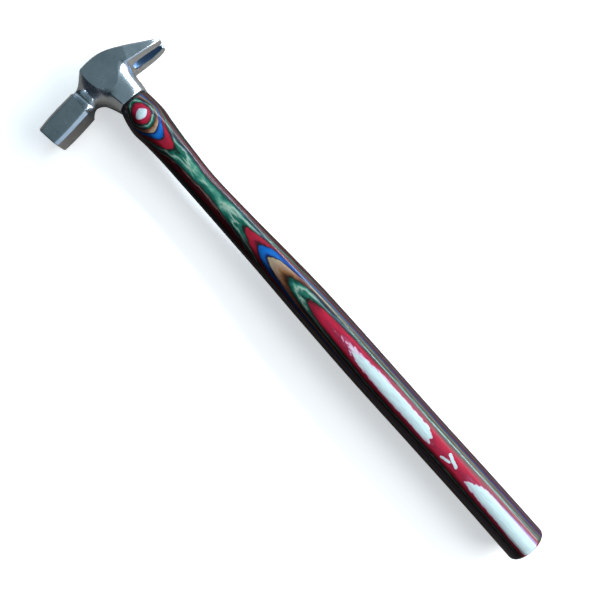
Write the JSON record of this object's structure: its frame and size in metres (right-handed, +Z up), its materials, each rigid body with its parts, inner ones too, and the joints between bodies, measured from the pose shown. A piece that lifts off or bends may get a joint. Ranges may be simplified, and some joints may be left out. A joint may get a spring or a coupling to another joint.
{
  "type": "nail-driving hammer",
  "caption": "Small nail-driving hammer: polished forged head with a square striking block and short split claw, on a slim oval handle carved from glued layers of dyed veneer.",
  "frame": {"origin": "on the lower ground cheek of the head, under the middle of the eye, where the hammer rests when it lies on its side", "axes": "+X along the handle, from the top of the head to the butt; +Y along the head, from the striking face to the claw; +Z up, out of the upper cheek"},
  "size_m": [0.3458, 0.0791, 0.025],
  "materials": {
    "forged_steel": "ground and polished forging steel, bare, lightly oiled",
    "wedge_steel": "plain driven steel wedge, dull",
    "wedge_wood": "pale hardwood, end grain",
    "adhesive": "cured dark epoxy bead",
    "veneer_white": "bleached veneer under clear lacquer",
    "veneer_crimson": "crimson dyed veneer under clear lacquer",
    "veneer_green": "green dyed veneer under clear lacquer",
    "veneer_tan": "tan dyed veneer under clear lacquer",
    "veneer_blue": "blue dyed veneer under clear lacquer",
    "veneer_red": "dark red dyed veneer under clear lacquer"
  },
  "bodies": {
    "root": {"adhesive_bead": "adhesive", "hammer_head": "forged_steel", "steel_wedge_front": "wedge_steel", "steel_wedge_rear": "wedge_steel", "veneer_01_white_grip": "veneer_white", "veneer_01_white_swell": "veneer_white", "veneer_02_crimson_grip": "veneer_crimson", "veneer_02_crimson_swell": "veneer_crimson", "veneer_03_green_grip": "veneer_green", "veneer_03_green_swell": "veneer_green", "veneer_04_tan_grip": "veneer_tan", "veneer_04_tan_swell": "veneer_tan", "veneer_05_blue_grip": "veneer_blue", "veneer_05_blue_swell": "veneer_blue", "veneer_06_red_grip": "veneer_red", "veneer_06_red_swell": "veneer_red", "veneer_07_green": "veneer_green", "veneer_08_white": "veneer_white", "veneer_09_crimson": "veneer_crimson", "veneer_10_green": "veneer_green", "veneer_11_tan": "veneer_tan", "veneer_12_blue": "veneer_blue", "veneer_13_red": "veneer_red", "veneer_14_green": "veneer_green", "veneer_15_white": "veneer_white", "veneer_16_crimson": "veneer_crimson", "veneer_17_green": "veneer_green", "veneer_18_tan": "veneer_tan", "veneer_19_blue_grip": "veneer_blue", "veneer_19_blue_swell": "veneer_blue", "veneer_20_red_grip": "veneer_red", "veneer_20_red_swell": "veneer_red", "veneer_21_green_grip": "veneer_green", "veneer_21_green_swell": "veneer_green", "veneer_22_white_grip": "veneer_white", "veneer_22_white_swell": "veneer_white", "veneer_23_crimson_grip": "veneer_crimson", "veneer_23_crimson_swell": "veneer_crimson", "veneer_24_green_grip": "veneer_green", "veneer_24_green_swell": "veneer_green", "wooden_wedge": "wedge_wood"}
  },
  "joints": []
}
